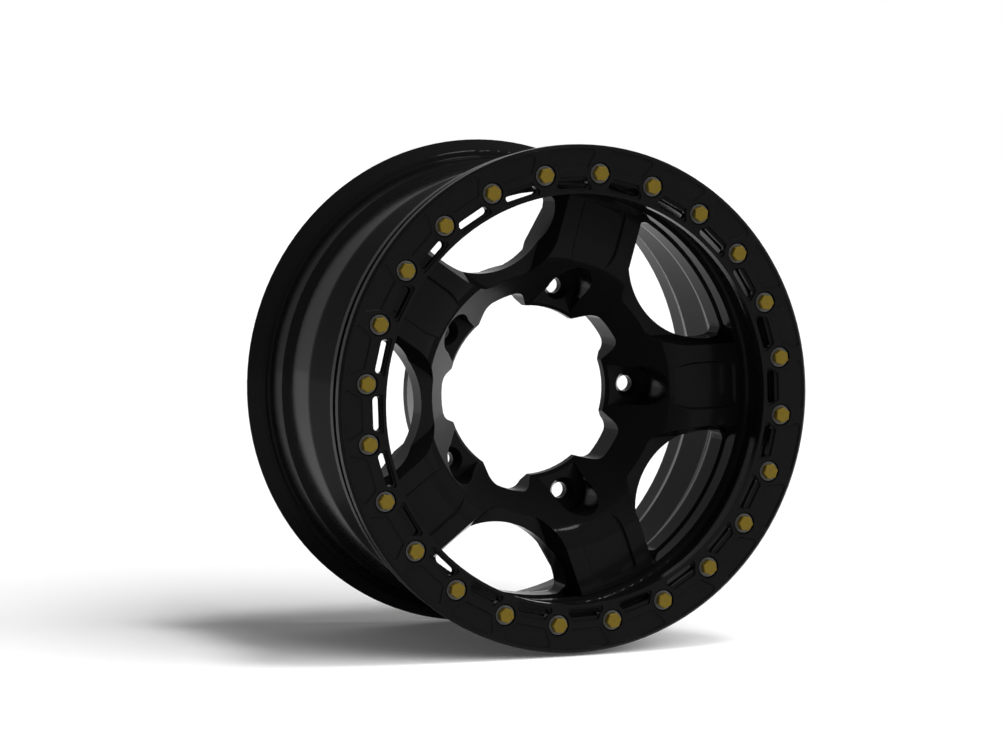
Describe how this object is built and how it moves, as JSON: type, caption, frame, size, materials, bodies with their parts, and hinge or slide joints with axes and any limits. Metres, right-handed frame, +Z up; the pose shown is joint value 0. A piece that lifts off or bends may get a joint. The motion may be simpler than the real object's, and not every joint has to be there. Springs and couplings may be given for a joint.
{
  "type": "beadlock wheel",
  "caption": "Cast off-road wheel with five flat-faced spokes, a scalloped open centre and a bolted ring that clamps the tyre's outer bead.",
  "frame": {"origin": "on the wheel's axis, in the plane of the hub mounting face", "axes": "+Y along the wheel's axis, inboard; -Y faces out, towards the ring and bolts; +Z up as in the picture"},
  "size_m": [0.4703, 0.255, 0.4704],
  "materials": {
    "black_wheel": "smooth black gloss coat over cast aluminium",
    "black_ring": "black satin coat over machined aluminium",
    "yellow_zinc": "yellow zinc plate on steel",
    "washer_steel": "plain grey zinc plate on steel"
  },
  "bodies": {
    "root": {"wheel": "black_wheel", "beadlock_ring": "black_ring", "bolt_01": "yellow_zinc", "bolt_02": "yellow_zinc", "bolt_03": "yellow_zinc", "bolt_04": "yellow_zinc", "bolt_05": "yellow_zinc", "bolt_06": "yellow_zinc", "bolt_07": "yellow_zinc", "bolt_08": "yellow_zinc", "bolt_09": "yellow_zinc", "bolt_10": "yellow_zinc", "bolt_11": "yellow_zinc", "bolt_12": "yellow_zinc", "bolt_13": "yellow_zinc", "bolt_14": "yellow_zinc", "bolt_15": "yellow_zinc", "bolt_16": "yellow_zinc", "bolt_17": "yellow_zinc", "bolt_18": "yellow_zinc", "bolt_19": "yellow_zinc", "bolt_20": "yellow_zinc", "bolt_21": "yellow_zinc", "bolt_22": "yellow_zinc", "bolt_23": "yellow_zinc", "bolt_24": "yellow_zinc", "washer_01": "washer_steel", "washer_02": "washer_steel", "washer_03": "washer_steel", "washer_04": "washer_steel", "washer_05": "washer_steel", "washer_06": "washer_steel", "washer_07": "washer_steel", "washer_08": "washer_steel", "washer_09": "washer_steel", "washer_10": "washer_steel", "washer_11": "washer_steel", "washer_12": "washer_steel", "washer_13": "washer_steel", "washer_14": "washer_steel", "washer_15": "washer_steel", "washer_16": "washer_steel", "washer_17": "washer_steel", "washer_18": "washer_steel", "washer_19": "washer_steel", "washer_20": "washer_steel", "washer_21": "washer_steel", "washer_22": "washer_steel", "washer_23": "washer_steel", "washer_24": "washer_steel"}
  },
  "joints": []
}
